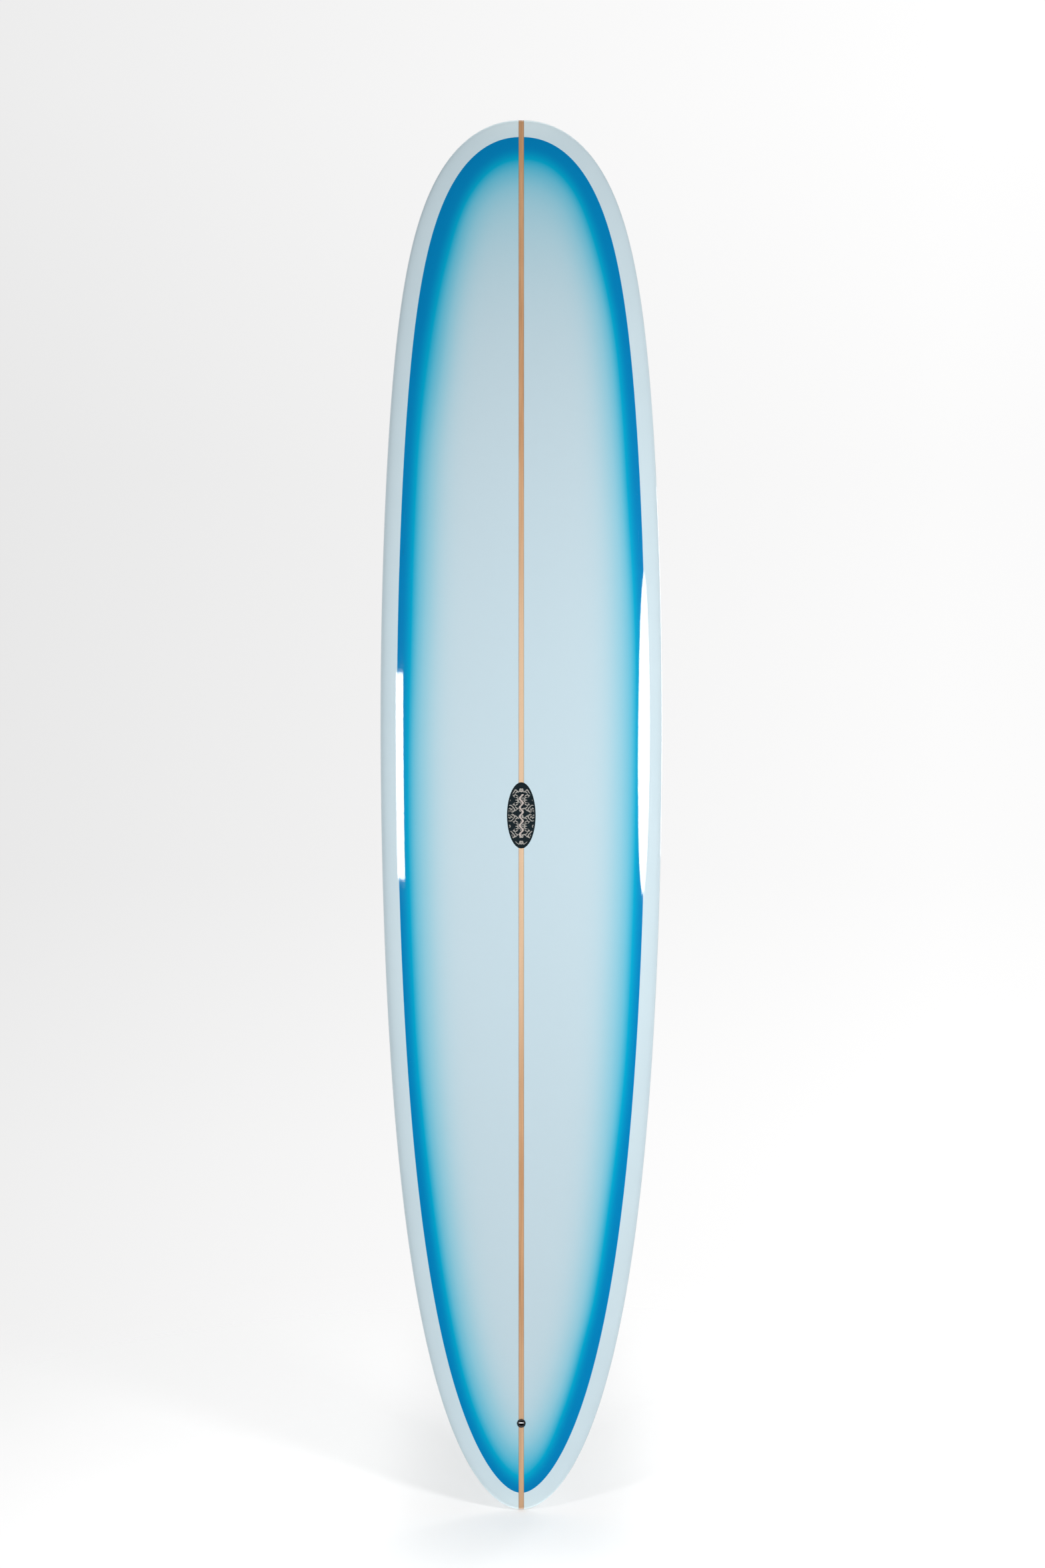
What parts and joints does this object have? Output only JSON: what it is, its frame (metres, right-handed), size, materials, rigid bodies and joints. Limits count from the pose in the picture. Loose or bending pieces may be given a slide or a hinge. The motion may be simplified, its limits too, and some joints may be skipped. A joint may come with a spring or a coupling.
{
  "type": "surfboard",
  "caption": "Round-nosed longboard surfboard: foam core on a timber stringer under glass skins, leash plug in the deck and a fin that slides in a slotted box in the bottom.",
  "frame": {"origin": "on the centre line at the tail end (z = 0), in the plane that touches the bottom at its lowest point (y = 0)", "axes": "+Z along the board from tail to nose, +X across the board, +Y out of the bottom; the deck faces -Y"},
  "size_m": [0.578, 0.3048, 2.794],
  "materials": {
    "blank_foam": "sanded polyurethane foam, sprayed pale blue with a deeper blue fade at the deck's lap line",
    "glue": "cured glue line",
    "stringer_timber": "planed timber under clear resin",
    "badge_print": "printed paper set in resin",
    "deck_inlay_laminate": "clear glass cloth and resin over the sprayed deck",
    "clear_laminate": "clear glass cloth and resin",
    "gloss_resin": "polished clear resin",
    "black_nylon": "moulded",
    "stainless": "polished",
    "bedding_resin": "sanded flush and polished",
    "fin_moulding": "satin",
    "brass_pin": "turned"
  },
  "bodies": {
    "board": {"foam_left": "blank_foam", "foam_right": "blank_foam", "glue_line_left": "glue", "glue_line_right": "glue", "stringer": "stringer_timber", "badge_paper": "badge_print", "deck_inlay_cloth": "deck_inlay_laminate", "bottom_cloth": "clear_laminate", "deck_cloth": "clear_laminate", "deck_gloss": "gloss_resin", "bottom_gloss": "gloss_resin", "leash_cup": "black_nylon", "leash_bar": "stainless", "leash_bed": "bedding_resin", "fin_box": "black_nylon", "fin_box_bed": "bedding_resin"},
    "fin_unit": {"fin": "fin_moulding", "fin_pin": "brass_pin"},
    "screw": {"fin_screw": "stainless"},
    "plate": {"fin_plate": "stainless"}
  },
  "joints": [
    {"name": "fin_travel", "type": "slide", "parent": "board", "child": "fin_unit", "axis": [0, 0.1023, 0.9947], "range_m": [-0.022, 0.022]},
    {"name": "screw_turn", "type": "hinge", "parent": "fin_unit", "child": "screw", "pos_m": [0, -0.03109, 0.41871], "axis": [0, 0.9947, -0.1023], "range_deg": [0, 1080]},
    {"name": "plate_travel", "type": "slide", "parent": "fin_unit", "child": "plate", "axis": [0, -0.9947, 0.1023], "range_m": [0, 0.00238]}
  ],
  "couplings": [
    {"joint": "screw_turn", "follows": "plate_travel", "rad_per_m": 7915.8}
  ]
}
